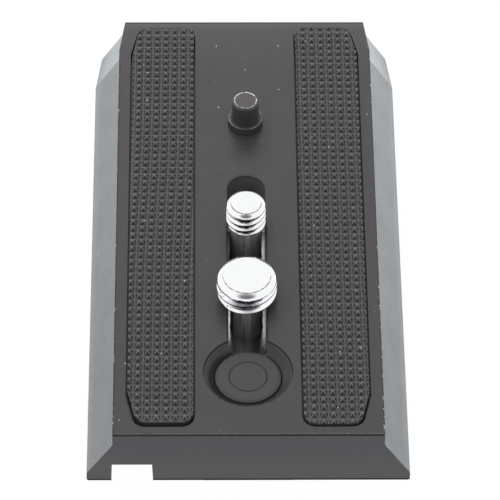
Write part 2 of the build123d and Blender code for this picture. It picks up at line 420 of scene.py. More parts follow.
def grid_faces(rows, columns):
    """Four-sided faces between the points of a grid that is stored row by row."""
    row, column = np.meshgrid(np.arange(rows - 1), np.arange(columns - 1), indexing="ij")
    first = (row * columns + column).ravel()
    return np.stack([first, first + columns, first + columns + 1, first + 1], axis=1)


def make_piece(name, points, faces, material, body, replaced):
    """Mesh object from points and faces that rides on its CAD body in place of its plain CAD node."""
    mesh = bpy.data.meshes.new(name)
    mesh.from_pydata(points.reshape(-1, 3).tolist(), [], [list(face) for face in faces])
    piece = bpy.data.objects.new(name, mesh)
    bpy.context.scene.collection.objects.link(piece)
    mesh.materials.append(material)
    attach(piece, body)
    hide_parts(replaced)
    return piece


def weld(mesh):
    """Merges points that fall together, drops faces with no area and marks sharp edges."""
    work = bmesh.new()
    work.from_mesh(mesh)
    bmesh.ops.remove_doubles(work, verts=work.verts, dist=MERGE_DISTANCE)
    bmesh.ops.dissolve_degenerate(work, dist=MERGE_DISTANCE / 2, edges=work.edges)
    work.to_mesh(mesh)
    work.free()
    mesh.shade_smooth()
    mesh.set_sharp_from_angle(angle=SHARP_ANGLE)


# %% [markdown]
# ## Black anodised aluminium
#
# The plate was machined, bead blasted and dyed black. Its skin is a fine satin grain that reflects more at
# a low angle, so the flanks look much paler than the top. An image texture could hold all its marks, but
# masks worked out from the place on the plate stay sharp at any distance and turn with the piece. The next
# cells make them one by one: dust, painted light towards the far end, painted shade on the edge flats, a
# near edge that is rubbed and has a painted highlight, chips, painted light on the walls of the slot and
# the recesses, painted shade in the keyhole, a paler foot of the flanks and the marks that a clamp leaves
# on them. A painted sheen makes the lead-in paler.


# %% Sizes of the plate
PLATE_TOP = 11.0 * MM
TOP_HALF = 21.0 * MM
LEAD_IN_Y = 38.4 * MM
LEAD_IN_SLOPE = 0.9 / 6.6


def from_plate_middle(x, y):
    """Distance from the plate's middle plane, with the lead-in's slope added beyond its start, so that the
    side edge of the top lies at TOP_HALF all along."""
    beyond = calc("MAXIMUM", calc("SUBTRACT", y, LEAD_IN_Y), 0.0)
    return calc("ADD", calc("ABSOLUTE", x), times(beyond, LEAD_IN_SLOPE))


print("plate top", 2 * TOP_HALF / MM, "mm wide, at", PLATE_TOP / MM, "mm")


# %% Dust, and painted light towards the far end
def dust(place, cell, speck, share):
    """Specks on faces that look up: one to each cell of a flat pattern at most, in that share of the cells,
    as a mask from 0 to 1."""
    inputs = {"Vector": place, "Scale": 1.0 / cell}
    cells = next_node("ShaderNodeTexVoronoi", inputs, voronoi_dimensions="2D")
    chosen = next_node("ShaderNodeSeparateColor", {0: cells.outputs["Color"]})
    picked = calc("LESS_THAN", chosen.outputs[0], share)
    size = calc("MULTIPLY_ADD", chosen.outputs[1], 0.7 * speck / cell, 0.3 * speck / cell)
    near = calc("LESS_THAN", cells.outputs["Distance"], size)
    facing = axes(add_node(place.id_data, "ShaderNodeNewGeometry").outputs["True Normal"])[2]
    return times(picked, near, fade(facing, 0.4, 0.6))


def far_end_painted_light(y):
    """Painted light: the plate is paler over the last stretch towards the far end, and mostly so in the
    last millimetres, where the far end catches more light.
    """
    last = fade(y, cad_high.y - 2.5 * MM, cad_high.y, 0.0, 0.7)
    return calc("ADD", last, fade(y, cad_high.y - 14.0 * MM, cad_high.y, 0.0, 0.3))


# %% Edges of the plate
def painted_edge_shade(y, z, from_middle, at_end):
    """Painted shade: the narrow flats along the edges of the top and along the foot of the near end are
    painted dark.
    """
    near_top = fade(z, PLATE_TOP - 0.26 * MM, PLATE_TOP - 0.20 * MM)
    near_break = times(at_end, near_top, 0.5)
    foot_break = times(at_end, fade(z, 0.42 * MM, 0.32 * MM))
    far_break = times(fade(y, cad_high.y - 0.50 * MM, cad_high.y - 0.42 * MM), near_top)
    side_break = times(fade(from_middle, TOP_HALF - 0.28 * MM, TOP_HALF - 0.22 * MM),
                       fade(z, PLATE_TOP - 0.32 * MM, PLATE_TOP - 0.26 * MM), 0.85)
    return largest(near_break, side_break, foot_break, far_break)


def near_edge_wear_and_highlight(place, y, z):
    """Thin pale line along the near edge of the top, split up by fine noise: partly rubbing, partly a
    painted highlight on the edge.
    """
    on_top = fade(z, PLATE_TOP - 0.08 * MM, PLATE_TOP - 0.02 * MM)
    wear_and_highlight = fade(noise(place, 0.5 * MM, 3.0, 0.7), 0.35, 0.75)
    return times(band(y, cad_low.y + 0.32 * MM, 0.12 * MM), on_top, wear_and_highlight)


def edge_chips(place, x, y, z, from_middle):
    """Small chips along the side edges of the top, with more of them at the near right corner."""
    side_edge = times(band(from_middle, TOP_HALF - 0.08 * MM, 0.18 * MM),
                      fade(z, PLATE_TOP - 0.4 * MM, PLATE_TOP - 0.2 * MM))
    near_right = times(fade(y, -34.0 * MM, -42.0 * MM), fade(x, 0.0, 1.0 * MM))
    chips = calc("MULTIPLY_ADD", near_right, 0.09, noise(place, 0.8 * MM, 4.0, 0.75))
    return times(side_edge, fade(chips, 0.58, 0.66))


# %% Painted light on the walls of the slot and of the recesses
KEYHOLE_Y = -32.2 * MM
SLOT_HALF = 3.02 * MM
SLOT_FAR_Y = 9.6 * MM
SLOT_LIP = 0.40 * MM
CHANNEL_TOP = 3.95 * MM
RECESS_FLOOR = 9.3 * MM
RECESS_INNER = 8.0 * MM
RECESS_OUTER = 19.3 * MM
RECESS_END = 43.6 * MM


def slot_wall_painted_light(x, y, z):
    """Painted light: the walls of the slot between its lip and the channel are painted paler, as little
    light reaches down there.
    """
    across = fade(calc("ABSOLUTE", x), SLOT_HALF + 0.04 * MM, SLOT_HALF)
    along = times(calc("GREATER_THAN", y, KEYHOLE_Y), calc("LESS_THAN", y, SLOT_FAR_Y))
    below_lip = fade(z, PLATE_TOP - SLOT_LIP, PLATE_TOP - SLOT_LIP - 0.04 * MM)
    return times(across, along, below_lip, calc("GREATER_THAN", z, CHANNEL_TOP))


def recess_wall_painted_light(x, y, z, from_middle):
    """Painted light: the walls of the pads' recesses lie in shade and are painted paler, so that they show
    as a thin pale line round the pads.
    """
    across = times(fade(calc("ABSOLUTE", x), RECESS_INNER, RECESS_INNER + 0.1 * MM),
                   fade(from_middle, RECESS_OUTER, RECESS_OUTER - 0.1 * MM))
    along = fade(calc("ABSOLUTE", y), RECESS_END, RECESS_END - 0.1 * MM)
    down = times(fade(z, PLATE_TOP - 0.05 * MM, PLATE_TOP - 0.10 * MM),
                 calc("GREATER_THAN", z, RECESS_FLOOR))
    return times(across, along, down)


# %% Painted shade in the keyhole
SHADE_REACH = 6.02 * MM
SHADE_LEAN = -0.40 * MM
LIP_LINE = 6.98 * MM
COUNTERSINK_RIM = 6.85 * MM


def keyhole_painted_shade(x, y):
    """Painted shade round the plug, deeper on the left and towards the near end, with a thin dark line on
    the far side of the countersink's lip and fainter painted shade inside it."""
    from_hole = calc("SUBTRACT", y, KEYHOLE_Y)
    radius = from_axis(x, from_hole)
    to_right = calc("DIVIDE", calc("ADD", x, from_hole), radius)
    reach = calc("MULTIPLY_ADD", to_right, SHADE_LEAN, SHADE_REACH)
    ring = fade(calc("SUBTRACT", radius, reach), 0.5 * MM, -0.6 * MM)
    lip_line = times(band(radius, LIP_LINE, 0.11 * MM), fade(from_hole, -3.0 * MM, 0.5 * MM, 0.0, 0.8))
    inner_shade = fade(radius, COUNTERSINK_RIM, COUNTERSINK_RIM - 0.2 * MM, 0.0, 0.40)
    return largest(ring, lip_line, inner_shade)


# %% Marks of the clamp on the flanks
LEAD_IN_POLISH = 0.42
FACE_SKIN = 0.06 * MM


def flank_mask(y, z, from_middle):
    """Sides of the plate below the edge of the top, without the far end face and the base face."""
    outside = fade(from_middle, TOP_HALF, TOP_HALF + 0.3 * MM)
    off_end = fade(y, cad_high.y - FACE_SKIN / 3, cad_high.y - FACE_SKIN)
    return times(outside, off_end, fade(z, FACE_SKIN / 3, FACE_SKIN))


def flank_marks(place, on_flank, on_lead_in):
    """Change of the gloss: fine scuffs and broad smears, drawn out along the plate, dull the flanks, and
    the lead-in, which meets the clamp first, is polished."""
    streaks = stretched(place, (1.0, 0.35, 1.0))
    scuffs = fade(noise(streaks, 0.45 * MM, 3.0, 0.7), 0.50, 0.70, 0.0, -0.13)
    smears = fade(noise(streaks, 3.0 * MM, 3.0, 0.6), 0.35, 0.70, 0.04, -0.03)
    marks = times(on_flank, calc("ADD", scuffs, smears))
    return calc("MULTIPLY_ADD", on_lead_in, LEAD_IN_POLISH, marks)


def pale_flank_foot(x, on_flank, at_end):
    """Outer edge of the flanks, paler."""
    outer = fade(calc("ABSOLUTE", x), cad_high.x - 1.1 * MM, cad_high.x - 0.2 * MM)
    return times(outer, calc("SUBTRACT", on_flank, at_end, clamp=True))


# %% Black anodised finish
DYE_DARK = (0.0370, 0.0342, 0.0345, 1.0)
DYE_PALE = (0.0470, 0.0436, 0.0440, 1.0)
GRAIN_HEIGHT = 0.012 * MM


def anodised_black():
    """Black anodised skin: dye that varies a little, then every mark from the cells above on top of it,
    painted light and shade among them. The painted shade on the edges and in the keyhole is dull, and the
    flanks' marks change the gloss."""
    material, shader, place = start_finish("anodised_black")
    x, y, z = axes(place)
    from_middle = from_plate_middle(x, y)
    at_end = fade(y, cad_low.y + 0.24 * MM, cad_low.y + 0.19 * MM)
    on_flank = flank_mask(y, z, from_middle)
    on_lead_in = times(on_flank, fade(y, LEAD_IN_Y, LEAD_IN_Y + 0.1 * MM))
    edge_shade = painted_edge_shade(y, z, from_middle, at_end)
    keyhole_shade = keyhole_painted_shade(x, y)
    mottle = noise(place, 5 * MM, 4.0, 0.6)
    # painted light and shade among the coats: paler far end, dark edge flats, the near edge's highlight,
    # pale slot and recess walls, the keyhole's shade and the pale lead-in
    colour = painted(
        blend_colour(mottle, DYE_DARK, DYE_PALE),
        (far_end_painted_light(y), grey(0.074)),
        (edge_shade, grey(0.012)),
        (near_edge_wear_and_highlight(place, y, z), grey(0.13, 0.05)),
        (edge_chips(place, x, y, z, from_middle), grey(0.40)),
        (dust(place, 5.0 * MM, 0.12 * MM, 0.20), grey(0.55)),
        (dust(place, 2.2 * MM, 0.08 * MM, 0.25), grey(0.22)),
        (slot_wall_painted_light(x, y, z), grey(0.125, 0.02)),
        (recess_wall_painted_light(x, y, z, from_middle), grey(0.085, 0.03)),
        (keyhole_shade, grey(0.012, 0.05)),
        # painted sheen: the lead-in's facets get a paler colour, as they mirror the bright paper beyond the
        # far end
        (on_lead_in, grey(0.095, -0.02)),
        (pale_flank_foot(x, on_flank, at_end), grey(0.085)),
    )
    gloss = fade(largest(edge_shade, keyhole_shade), 0.0, 1.0, 0.5, 0.1)
    set_inputs(shader, {
        "Base Color": colour,
        "Roughness": fade(mottle, 0.3, 0.7, 0.28, 0.34),
        "IOR": 1.5,
        "Specular IOR Level": calc("ADD", gloss, flank_marks(place, on_flank, on_lead_in)),
        "Normal": bump(noise(place, 0.22 * MM, 2.0, 0.6), GRAIN_HEIGHT),
    })
    return material


def dress(node_name, material):
    """Gives a CAD node its finish."""
    mesh = nodes[node_name].data
    mesh.materials.clear()
    mesh.materials.append(material)


dress("plate_body", anodised_black())
print("plate dressed")

# %% [markdown]
# ## Rubber grip pads
#
# Each pad is a moulded strip covered in small four-sided pyramids with flat lanes between them. One pyramid
# could be repeated by an Array modifier, but those at the rim have to be cut. In a grid whose lines follow
# the tips, the feet and the lanes, the strip's outline is just a limit on X for each Y. The grid runs
# slightly askew and bends a little, because the strips are stamped from a larger sheet.

# %% Outline of a pad
PAD_TAPER_IN = 1.4 * MM
PAD_TAPER_RUN = 6.1 * MM
PAD_CORNER = 1.9 * MM
PAD_FAR_SPREAD = 0.2 * MM
CORNER_STEPS = 9


def end_inset(depth):
    """Inset of the outer edge at a distance from the pad's end: a round corner, then a straight taper."""
    lean = math.atan2(PAD_TAPER_IN, PAD_TAPER_RUN)
    centre = PAD_CORNER / math.cos(lean) + PAD_TAPER_IN * (1 - PAD_CORNER / PAD_TAPER_RUN)
    inside = np.sqrt(np.clip(PAD_CORNER**2 - (PAD_CORNER - depth) ** 2, 0, None))
    taper = PAD_TAPER_IN * np.clip(1 - depth / PAD_TAPER_RUN, 0, None)
    return np.where(depth < PAD_CORNER * (1 - math.sin(lean)), centre - inside, taper)


def corner_inset(depth):
    """Inset of the inner edge at a distance from the pad's end: a quarter circle."""
    reach = np.clip(PAD_CORNER - depth, 0, None)
    return PAD_CORNER - np.sqrt(PAD_CORNER**2 - reach**2)


print("pad end", round(float(end_inset(np.array(0.0))) / MM, 2), "mm in from its outer edge")


# %% Pyramids of a pad
PITCH = 1.465 * MM
PYRAMID_HALF = 0.60 * MM
PYRAMID_HEIGHT = 0.60 * MM
TIP_HALF = 0.06 * MM
FOOT_MARGIN = 0.05 * MM


def from_tip(offset):
    """Distance to the nearest pyramid tip along one axis, for offsets from a tip of the grid."""
    return np.abs(offset - PITCH * np.round(offset / PITCH))


def pyramid_height(across, along):
    """Height over the lanes: a straight slope in the larger of the two distances from the tip, cut off
    flat at the tip and at the lane."""
    reach = np.maximum(across, along)
    slope = np.clip((PYRAMID_HALF - reach) / (PYRAMID_HALF - TIP_HALF), 0, 1)
    return PYRAMID_HEIGHT * slope


def drift(y, path):
    """Shift of the sheet's grid at a place along the pad: offset + swing * tanh((y - middle) / run)."""
    offset, swing, middle, run = path
    return offset + swing * np.tanh((y - middle) / run)


def grid_lines(first, last):
    """Lines of the unbent sheet between two limits: the tip's edges, the foot and the lane of each pyramid,
    and one line beside each foot that keeps smooth shading out of the lane."""
    offsets = np.array([-PITCH / 2, -PYRAMID_HALF - FOOT_MARGIN, -PYRAMID_HALF, -TIP_HALF,
                        TIP_HALF, PYRAMID_HALF, PYRAMID_HALF + FOOT_MARGIN])
    steps = np.arange(math.floor(first / PITCH) - 2, math.ceil(last / PITCH) + 3)
    return (steps[:, None] * PITCH + offsets).ravel()


print("pyramids", PITCH / MM, "mm apart with lanes of", round((PITCH - 2 * PYRAMID_HALF) / MM, 3), "mm")


# %% Grip pad surface
def pad_surface(low, high, side, columns_drift, rows_drift):
    """Top of a pad as a grid of rows (Y) and columns (X): the lines of the sheet, moved by its drift and
    held within the strip's outline, at the height of the pyramids. Also gives each point's place on the
    sheet."""
    sheet_rows = grid_lines(low.y, high.y)
    rows = sheet_rows + drift(sheet_rows, rows_drift)
    rows = sheet_rows + drift(rows, rows_drift)
    round_end = PAD_CORNER * (1 - np.cos(np.linspace(0, math.pi / 2, CORNER_STEPS)))
    rows = np.concatenate([rows, low.y + round_end, high.y - round_end])
    rows = np.unique(np.clip(rows, low.y, high.y))
    shift = drift(rows, columns_drift)
    columns = grid_lines(low.x - shift.max(), high.x - shift.min())
    depth = np.minimum(rows - low.y, high.y - rows)
    outer = end_inset(depth)
    inner = corner_inset(depth)
    left, right = (inner, outer) if side > 0 else (outer, inner)
    spread = PAD_FAR_SPREAD * np.clip(1 - (high.y - rows) / PAD_TAPER_RUN, 0, 1)
    x = np.clip(columns[None, :] + shift[:, None],
                (low.x + left - spread)[:, None], (high.x - right + spread)[:, None])
    y = np.broadcast_to(rows[:, None], x.shape)
    sheet = np.stack([x - shift[:, None], y - drift(y, rows_drift)], axis=2)
    reach = from_tip(sheet)
    z = high.z - PYRAMID_HEIGHT + pyramid_height(reach[..., 0], reach[..., 1])
    return np.stack([x, y, z], axis=2), sheet


def ridge_faces(sheet):
    """Triangles of the top: each face of the grid is split along the diagonal that points at the nearest
    tip, so that the pyramid's ridges are straight."""
    rows, columns = sheet.shape[:2]
    middle = (sheet[:-1, :-1] + sheet[1:, 1:]).reshape(-1, 2) / 2
    away = middle - PITCH * np.round(middle / PITCH)
    rising = (away[:, 0] * away[:, 1] > 0)[:, None]
    a, b, c, d = grid_faces(rows, columns).T
    first = np.where(rising, np.stack([a, c, b], 1), np.stack([a, d, b], 1))
    second = np.where(rising, np.stack([a, d, c], 1), np.stack([b, d, c], 1))
    return [*first.tolist(), *second.tolist()]


def pad_piece(name, side, columns_drift, rows_drift, material):
    """Grip pad as a closed mesh: top, wall and base. Each point keeps its distances from the tip of its
    pyramid as an attribute."""
    low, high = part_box(name)
    top, sheet = pad_surface(low, high, side, columns_drift, rows_drift)
    rows, columns = top.shape[:2]
    index = np.arange(rows * columns).reshape(rows, columns)
    rim = np.concatenate([index[0, :-1], index[:-1, -1], index[-1, :0:-1], index[:0:-1, 0]])
    foot = rows * columns + np.arange(len(rim))
    walls = np.stack([rim, foot, np.roll(foot, -1), np.roll(rim, -1)], axis=1)
    foot_points = top.reshape(-1, 3)[rim]
    foot_points[:, 2] = low.z
    points = np.concatenate([top.reshape(-1, 3), foot_points])
    faces = [*ridge_faces(sheet), *walls.tolist(), foot[::-1].tolist()]
    piece = make_piece(name + "_rubber", points, faces, material, "plate", name)
    reach = np.full((len(points), 3), PITCH, np.float32)
    reach[: rows * columns, :2] = from_tip(sheet).reshape(-1, 2)
    attribute = piece.data.attributes.new("from_tip", "FLOAT_VECTOR", "POINT")
    attribute.data.foreach_set("vector", reach.ravel())
    weld(piece.data)
    return piece


# %% [markdown]
# ## Rubber finish
#
# The rubber is matt black, and it is paler on the tips and along the ridges of the pyramids: on the tips
# where cameras have rubbed it, and on the ridges partly from rubbing and partly as a painted highlight
# where the rounded ridges catch the light. Paint by hand or an image would need a map of every pyramid.
# The mesh already knows how far each point is from the tip of its pyramid, so the finish reads that
# attribute.


# %% Rubber finish
def rubber_wear_and_ridge_highlight(place, across, along, on_pyramid):
    """Wear and painted highlight: strongest round the tip, which cameras rub, then along the ridges, where
    both distances from the tip are alike and the rounded ridges catch the light as a painted highlight;
    patchy all over."""
    reach = largest(across, along)
    off_ridge = calc("ABSOLUTE", calc("SUBTRACT", across, along))
    ridge = times(fade(off_ridge, 0.20 * MM, 0.05 * MM), on_pyramid,
                  fade(reach, PYRAMID_HALF, 0.22 * MM, 0.40, 1.0))
    wear_and_highlight = largest(ridge, fade(reach, 0.24 * MM, 0.10 * MM))
    return times(wear_and_highlight, fade(noise(place, 1.1 * MM, 3.0, 0.6), 0.25, 0.75, 0.5, 1.0))


def grip_rubber():
    """Matt black rubber with paler lanes, tips paler from rubbing, ridges paler from rubbing and a painted
    highlight, and a little dust.
    """
    material, shader, place = start_finish("grip_rubber")
    offsets = add_node(place.id_data, "ShaderNodeAttribute", attribute_name="from_tip").outputs["Vector"]
    across, along, _ = axes(offsets)
    on_pyramid = fade(largest(across, along), PYRAMID_HALF, PYRAMID_HALF - 0.08 * MM)
    mottle = noise(place, 4 * MM, 3.0, 0.6)
    slope_colour = blend_colour(mottle, warm(0.0178, 0.11), warm(0.0256, 0.11))
    colour = painted(
        blend_colour(on_pyramid, warm(0.059, 0.10), slope_colour),
        (rubber_wear_and_ridge_highlight(place, across, along, on_pyramid), warm(0.187, 0.06)),
        (dust(place, 3.4 * MM, 0.16 * MM, 0.25), grey(0.45)),
    )
    set_inputs(shader, {
        "Base Color": colour,
        "Roughness": 0.48,
        "IOR": 1.5,
        "Normal": bump(noise(place, 0.16 * MM, 2.0), 0.01 * MM),
    })
    return material


# %% Grip pads
LEFT_COLUMNS_DRIFT = np.array([-16.62, 0.55, 2.0, 16.0]) * MM
LEFT_ROWS_DRIFT = np.array([-0.94, -0.47, 3.0, 20.0]) * MM
RIGHT_COLUMNS_DRIFT = np.array([10.0, -0.42, 0.0, 100.0]) * MM
RIGHT_ROWS_DRIFT = np.array([0.39, 0.97, 0.0, 100.0]) * MM

rubber = grip_rubber()
left_pad = pad_piece("left_grip_pad", -1, LEFT_COLUMNS_DRIFT, LEFT_ROWS_DRIFT, rubber)
right_pad = pad_piece("right_grip_pad", 1, RIGHT_COLUMNS_DRIFT, RIGHT_ROWS_DRIFT, rubber)
print("pads:", len(left_pad.data.polygons), "and", len(right_pad.data.polygons), "faces")

# %% [markdown]
# ## Camera screws
#
# A thread is one helical ridge. A Screw modifier could wind it, but its ends would stay open. If the
# grid's rows climb with the helix instead, the crest and the root always lie on a row, and the ridge stays
# crisp with few faces. Rows that climb past an end of the thread are held at that end, where the turned
# chamfer cuts the ridge away. The same grid goes on down the neck to the flat head, whose coin slot is made
# of columns that step up into the head.

# %% Thread
COLUMNS_PER_QUARTER = 30
ROWS_PER_FLANK = 7
CREST_SHARE = 0.16
ROOT_SHARE = 0.14
THREAD_DEPTH_SHARE = 0.6134
THREAD_FOOT = 11.6 * MM
FOOT_CHAMFER = 0.55 * MM
ENTRY_RUN = 0.30 * MM
CHAMFER_BULGE = 0.85


def thread_radius(turns, z, pitch, crest, depth):
    """Radius at a height and an angle in turns: a flat crest and root with straight flanks between them."""
    phase = np.abs(np.mod(z / pitch - turns, 1.0) - 0.5) * 2
    flank = np.clip((phase - CREST_SHARE) / (1 - CREST_SHARE - ROOT_SHARE), 0, 1)
    return crest - depth * flank


def thread_rows(turns, top, pitch, crest, top_chamfer, phase):
    """Radius, height and depth in the groove for each row and column of the thread. The groove starts from
    nothing below the top chamfer and is full after ENTRY_RUN. The top chamfer is a cone that bulges by
    CHAMFER_BULGE times drop times (1 - drop), where drop runs from 0 to 1 down the chamfer, and the foot
    chamfer is a plain cone."""
    depth = THREAD_DEPTH_SHARE * pitch
    flank = np.linspace(CREST_SHARE / 2, 0.5 - ROOT_SHARE / 2, ROWS_PER_FLANK)
    steps = np.concatenate([flank, 1 - flank[::-1]])
    climb = np.arange(math.ceil(top / pitch), math.floor(THREAD_FOOT / pitch) - 3, -1)
    climb = (climb[:, None] + 0.5 + phase + steps[::-1]).ravel()
    z = np.clip((climb[:, None] + turns[None, :]) * pitch, THREAD_FOOT, top)
    entry = np.clip((top - top_chamfer - z) / ENTRY_RUN, 0, 1)
    radius = crest - entry * (crest - thread_radius(turns[None, :] + phase, z, pitch, crest, depth))
    drop = np.clip((top - z) / top_chamfer, 0, 1)
    top_cone = crest - top_chamfer * (1 - drop - CHAMFER_BULGE * drop * (1 - drop))
    foot_cone = crest - FOOT_CHAMFER + (z - THREAD_FOOT)
    sunk = (crest - radius) / depth * (radius < foot_cone)
    return np.minimum(np.minimum(radius, top_cone), foot_cone), z, sunk


# %% Camera screw surface
NECK_RADIUS = 2.60 * MM
FLANGE_TOP = 3.15 * MM
HEAD_RADIUS = 6.25 * MM
HEAD_BOTTOM = 0.25 * MM
HEAD_BREAK = 0.30 * MM
COIN_SLOT_HALF = 0.80 * MM
COIN_SLOT_TOP = 1.45 * MM
COIN_SLOT_COLUMNS = 7


def screw_angles():
    """Column angles from the back round to the back again, closer together in the coin slot.
    Also tells which columns lie in the slot."""
    edge = math.asin(COIN_SLOT_HALF / HEAD_RADIUS)
    quarter = np.linspace(edge, math.pi / 2, COLUMNS_PER_QUARTER)
    inside = np.linspace(-edge, edge, COIN_SLOT_COLUMNS)
    half = np.concatenate([-quarter[::-1], inside, quarter])
    in_slot = np.concatenate([np.zeros(len(quarter)), np.ones(len(inside)), np.zeros(len(quarter))])
    angles = np.concatenate([half, math.pi + half[1:]]) + math.pi
    return angles, np.concatenate([in_slot, in_slot[1:]]).astype(bool), len(half)


def screw_surface(axis, top, pitch, crest, top_chamfer, phase):
    """Turned screw as rows of (radius, height) for each column angle: top face, thread, neck and head. Also
    gives each point's depth in the groove."""
    angles, in_slot, half_count = screw_angles()
    turns = (angles - angles[0]) / (2 * math.pi)
    radius, height, sunk = thread_rows(turns, top, pitch, crest, top_chamfer, phase)
    flat = np.ones_like(angles)
    rows = [(0 * flat, top * flat), ((crest - top_chamfer) / 2 * flat, top * flat)]
    thread_start = len(rows)
    rows += list(zip(radius, height))
    head_foot = np.where(in_slot, COIN_SLOT_TOP, HEAD_BOTTOM)
    rows += [
        (NECK_RADIUS * flat, THREAD_FOOT * flat),
        (NECK_RADIUS * flat, FLANGE_TOP * flat),
        (HEAD_RADIUS * flat, FLANGE_TOP * flat),
        (HEAD_RADIUS * flat, np.maximum(head_foot, HEAD_BOTTOM + HEAD_BREAK)),
        (np.where(in_slot, HEAD_RADIUS, HEAD_RADIUS - HEAD_BREAK), head_foot),
    ]
    r = np.array([row[0] for row in rows])
    z = np.array([row[1] for row in rows])
    points = np.stack([axis[0] + r * np.cos(angles), axis[1] + r * np.sin(angles), z], axis=2)
    root = np.zeros(r.shape)
    root[thread_start : thread_start + len(sunk)] = sunk
    return points, root, half_count


def screw_piece(name, body, axis, top, thread, material):
    """Threaded screw in place of its plain CAD blank. Faces from one half of the last row to the other
    close the head, and each point keeps its depth in the groove as an attribute."""
    points, root, half_count = screw_surface(axis, top, *thread)
    rows, columns = points.shape[:2]
    last = (rows - 1) * columns
    right = last + np.arange(half_count)
    left = last + columns - 1 - np.arange(half_count)
    base = np.stack([right[:-1], left[:-1], left[1:], right[1:]], axis=1)
    faces = np.concatenate([grid_faces(rows, columns), base])
    piece = make_piece(name + "_threaded", points, faces.tolist(), material, body, name)
    attribute = piece.data.attributes.new("thread_root", "FLOAT", "POINT")
    attribute.data.foreach_set("value", root.astype(np.float32).ravel())
    weld(piece.data)
    return piece


print("columns round a screw:", len(screw_angles()[0]))


# %% [markdown]
# ## Bright plating
#
# The screws are turned steel with bright nickel. A plain chrome material would look new, so the plating
# gets what use leaves on it: lathe rings and, on the larger screw, a violet heat stain and dark specks.
# The root of the thread is darker, and a dark line round the front of the top face is painted shade. The
# neck is painted a dull grey, streaked along its length, as painted shade in place of the dark slot that
# its chrome mirrors.

# %% Marks on the plating
STAIN_VIOLET = (0.10, 0.075, 0.12, 1.0)


def groove_dark_and_front_shade(place, z, radius, front, top, rim, root_dark_from):
    """Darker in the thread from a given depth in the groove on, and painted shade round the front edge of
    the top face.
    """
    root = add_node(place.id_data, "ShaderNodeAttribute", attribute_name="thread_root").outputs["Fac"]
    patchy = calc("MULTIPLY_ADD", noise(place, 0.5 * MM, 3.0), 0.5, -0.25)
    in_root = fade(calc("ADD", root, patchy), root_dark_from, root_dark_from + 0.26)
    edge = times(band(radius, rim + 0.05 * MM, 0.09 * MM),
                 fade(z, top - 0.25 * MM, top - 0.10 * MM), front,
                 fade(noise(place, 0.7 * MM, 3.0), 0.30, 0.60, 0.3, 1.0))
    return largest(in_root, edge)


def heat_stain(place, z, dx, front, top, stain):
    """Violet patch on the front of the thread, as strong as stain."""
    return times(band(dx, -0.3 * MM, 3.0 * MM), band(z, top - 1.9 * MM, 1.2 * MM), front,
                 fade(noise(place, 0.6 * MM, 3.0, 0.7), 0.26, 0.44, 0.0, stain))


def side_specks(place, z, dx, top, rim, stain):
    """Dark specks on the left side of the thread below its chamfer, as strong as stain."""
    return times(fade(dx, -0.45 * rim, -0.9 * rim),
                 fade(z, top - 0.7 * MM, top - 1.0 * MM),
                 fade(noise(place, 0.4 * MM, 3.0, 0.7), 0.56, 0.64, 0.0, stain),
                 calc("GREATER_THAN", z, THREAD_FOOT))


# %% Bright plating
RING_HEIGHT = 0.003 * MM
NECK_ROUGHNESS = 0.30


def bright_plating(name, axis, top, rim, root_dark_from, stain):
    """Bright nickel on turned steel: lathe rings round the screw's axis, a little haze, a darker thread
    root, painted shade on the front edge of the top face, stain and specks, and a neck painted a dull
    streaked grey as painted shade in place of a mirror."""
    material, shader, place = start_finish(name)
    x, y, z = axes(place)
    dx = calc("SUBTRACT", x, axis[0])
    dy = calc("SUBTRACT", y, axis[1])
    radius = from_axis(dx, dy)
    front = fade(dy, 0.15 * rim, -0.25 * rim)
    haze = noise(place, 1.5 * MM, 3.0, 0.6)
    neck = times(fade(z, THREAD_FOOT, THREAD_FOOT - 0.1 * MM),
                 fade(z, FLANGE_TOP - 0.1 * MM, FLANGE_TOP - 0.02 * MM))
    streaks = noise(stretched(place, (1.0, 1.0, 0.06)), 0.9 * MM, 3.0, 0.7)
    # painted shade: the neck gets a dull streaked grey in place of the chrome that would mirror the dark
    # slot
    neck_painted_shade = blend_colour(fade(streaks, 0.35, 0.65), grey(0.14), grey(0.34))
    colour = painted(
        blend_colour(haze, grey(0.93, -0.01), grey(0.97, -0.01)),
        (groove_dark_and_front_shade(place, z, radius, front, top, rim, root_dark_from), grey(0.05)),
        (heat_stain(place, z, dx, front, top, stain), STAIN_VIOLET),
        (side_specks(place, z, dx, top, rim, stain), grey(0.05)),
        (neck, neck_painted_shade),
    )
    polish = fade(haze, 0.3, 0.7, 0.10, 0.16)
    ring_place = next_node("ShaderNodeCombineXYZ", {"X": radius, "Z": z}).outputs[0]
    set_inputs(shader, {
        "Base Color": colour,
        "Metallic": fade(neck, 0.0, 1.0, 1.0, 0.0),
        "Roughness": calc("MULTIPLY_ADD", neck, NECK_ROUGHNESS, polish),
        "Normal": bump(noise(ring_place, 0.10 * MM, 2.0), RING_HEIGHT),
    })
    return material


# %% Camera screws
INCH = 25.4 * MM
for name, pitch, crest, top_chamfer, phase, root_dark_from, stain in (
    ("quarter_inch_screw", INCH / 20, 3.16 * MM, 0.75 * MM, 0.33, 0.48, 0.0),
    ("three_eighths_screw", INCH / 16, 4.74 * MM, 1.0 * MM, 0.64, 0.66, 0.85),
):
    low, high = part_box(name)
    axis = ((low.x + high.x) / 2, (low.y + high.y) / 2)
    plating = bright_plating(name + "_plating", axis, high.z, crest - top_chamfer, root_dark_from, stain)
    thread = (pitch, crest, top_chamfer, phase)
    screw = screw_piece(name, name + "_body", axis, high.z, thread, plating)
    print(name, len(screw.data.polygons), "faces")

# %% [markdown]
# ## Spring under the video pin
#
# The conical spring is a round wire along a helix that narrows as it climbs. A curve with a bevel would
# give the same tube, but the wire is worked out as points here. It rides on the plate, and its narrow end
# stays under the pin.

# %% Spring wire
WIRE_RADIUS = 0.225 * MM
WIRE_SIDES = 16
WIRE_STEPS = 140
SPRING_TURNS = 2.5
SPRING_NARROW = 1.925 * MM


